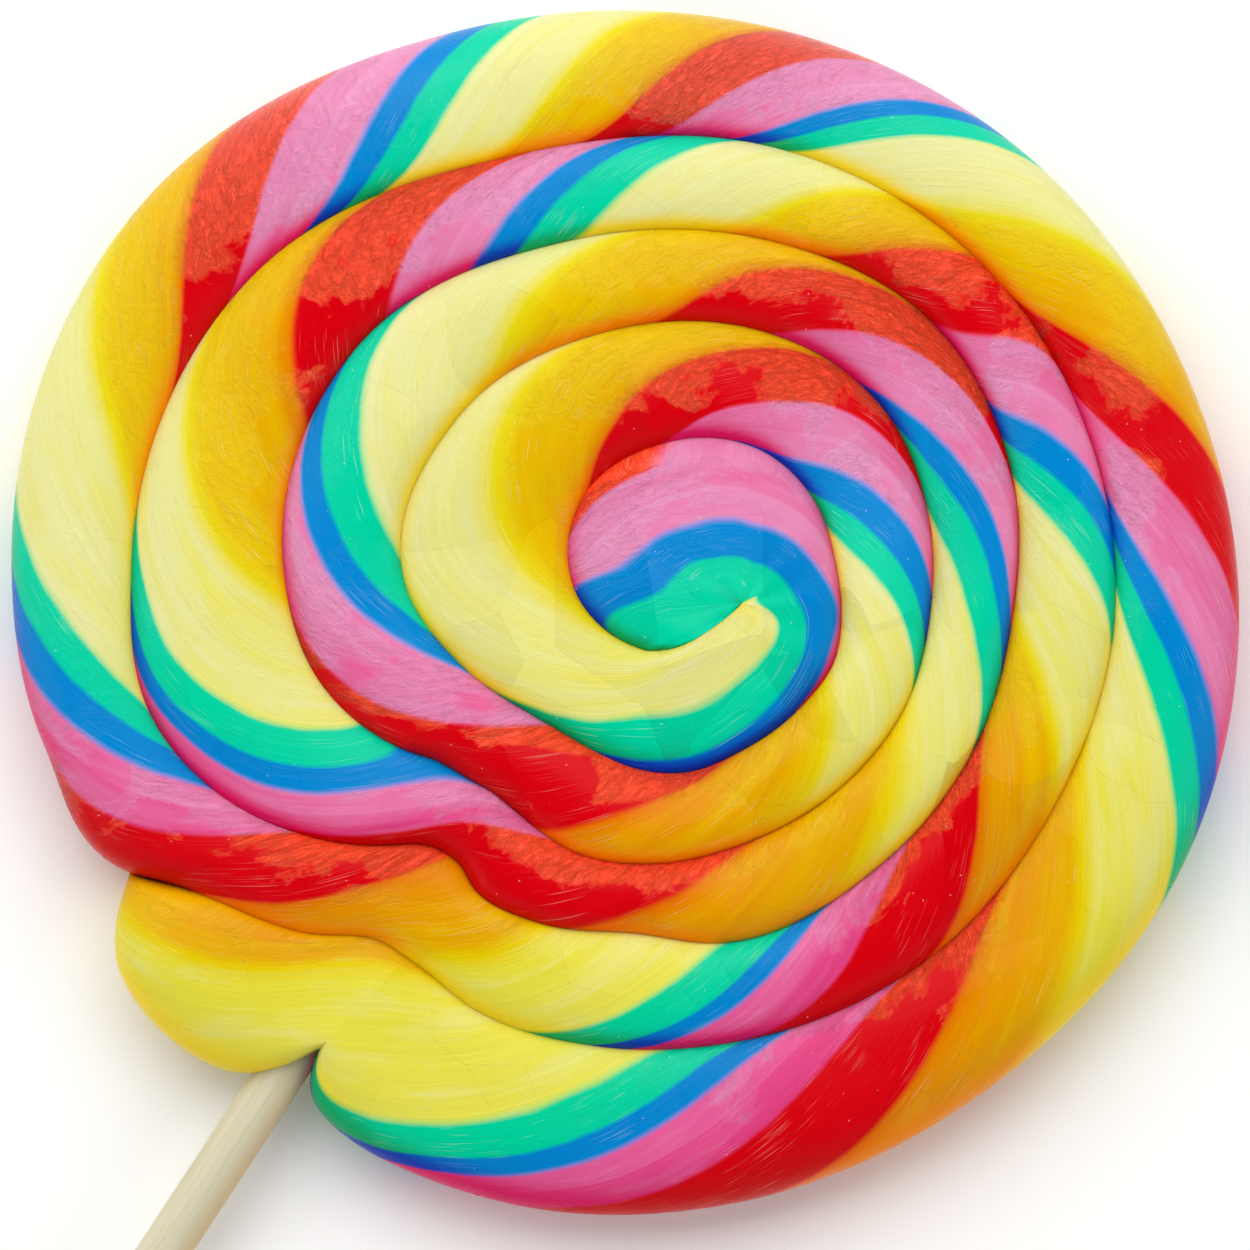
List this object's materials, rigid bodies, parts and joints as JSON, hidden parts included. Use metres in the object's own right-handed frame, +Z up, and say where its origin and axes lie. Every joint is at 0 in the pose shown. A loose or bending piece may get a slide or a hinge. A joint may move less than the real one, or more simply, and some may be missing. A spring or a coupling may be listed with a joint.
{
  "type": "swirl lollipop",
  "caption": "Large flat lollipop: a striped, twisted rope of boiled sugar coiled into a round swirl, on a plain round wooden stick.",
  "frame": {"origin": "on the table, under the stick's axis produced into the swirl, about 14 mm from the swirl's eye", "axes": "+Z up, out of the shown face of the swirl; -Y along the stick, away from the swirl; +X to the right when the stick points down"},
  "size_m": [0.1245, 0.2515, 0.0123],
  "materials": {
    "boiled_sugar": "glossy boiled sugar, in winding stripes of yellow, orange, red, pink, blue and green",
    "stick_wood": "bare pale wood, smooth and matt"
  },
  "bodies": {
    "root": {"candy": "boiled_sugar", "stick": "stick_wood"}
  },
  "joints": []
}
